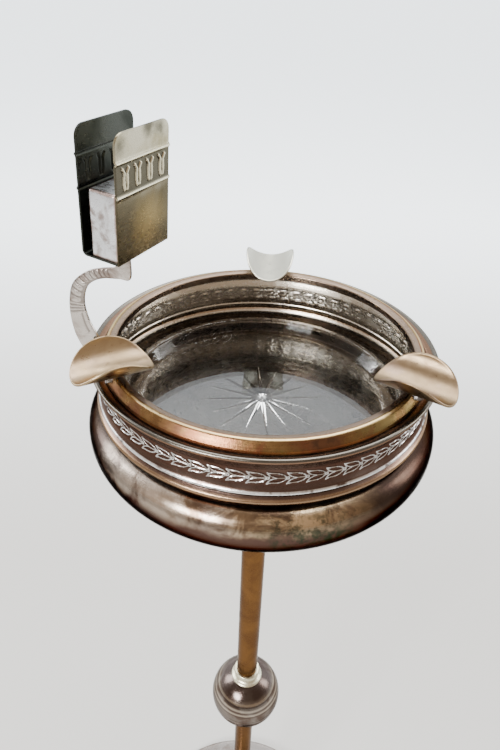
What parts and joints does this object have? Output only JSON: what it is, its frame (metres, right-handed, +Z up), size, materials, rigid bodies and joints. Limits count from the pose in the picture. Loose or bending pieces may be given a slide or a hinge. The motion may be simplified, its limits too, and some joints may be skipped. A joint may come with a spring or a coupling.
{
  "type": "standing ashtray",
  "caption": "Smoker's standing ashtray: round weighted foot, brass stem with ball knop, spun bowl with lift-out star-cut glass, cigar rests on the rim and a matchbox holder on a bracket.",
  "frame": {"origin": "centre of the felt's underside, on the floor, on the stem's axis", "axes": "+Z up along the stem; +Y towards the back cigar rest; the matchbox holder stands at -X"},
  "size_m": [0.22, 0.22, 0.7865],
  "materials": {
    "silver_plate": "worn silver plate over brass, tarnished brown and grey",
    "worn_rim": "plate worn through to copper and brass, satin",
    "stem_brass": "aged golden brass, satin",
    "rest_brass": "worn brass with remains of silver, satin",
    "pale_silver": "cast brass, silver plated, softly worn",
    "holder_silver": "silver plate with olive and gold tarnish",
    "solder": "rough bright solder",
    "steel": "dull steel",
    "iron": "rough cast iron",
    "felt": "pressed green felt",
    "cut_glass": "clear pressed glass, star cut underneath"
  },
  "bodies": {
    "stand": {"felt_pad": "felt", "base_plate": "steel", "base_weight": "iron", "base_shell": "silver_plate", "base_washer": "steel", "base_nut": "steel", "base_ferrule": "stem_brass", "tie_rod": "steel", "lower_tube": "stem_brass", "knop_bottom_collar": "rest_brass", "knop_lower_shell": "silver_plate", "knop_spacer": "steel", "knop_upper_shell": "silver_plate", "knop_top_collar": "rest_brass", "upper_tube": "stem_brass", "bowl_flange": "stem_brass", "bowl_body": "silver_plate", "bowl_washer": "steel", "bowl_nut": "steel", "bowl_pan": "silver_plate", "gallery_band": "silver_plate", "rim_ring": "worn_rim", "rest_front_left": "rest_brass", "rest_front_right": "rest_brass", "rest_back": "rest_brass", "rest_foot_front_left": "solder", "rest_foot_front_right": "solder", "rest_foot_back": "solder", "match_arm": "pale_silver", "arm_rivets": "pale_silver", "holder_back": "holder_silver", "holder_front": "holder_silver", "match_step": "pale_silver", "holder_stud": "steel", "holder_nut": "steel"},
    "glass": {"glass_dish": "cut_glass"}
  },
  "joints": [
    {"name": "glass_lift", "type": "slide", "parent": "stand", "child": "glass", "axis": [0, 0, 1], "range_m": [0, 0.03]}
  ]
}
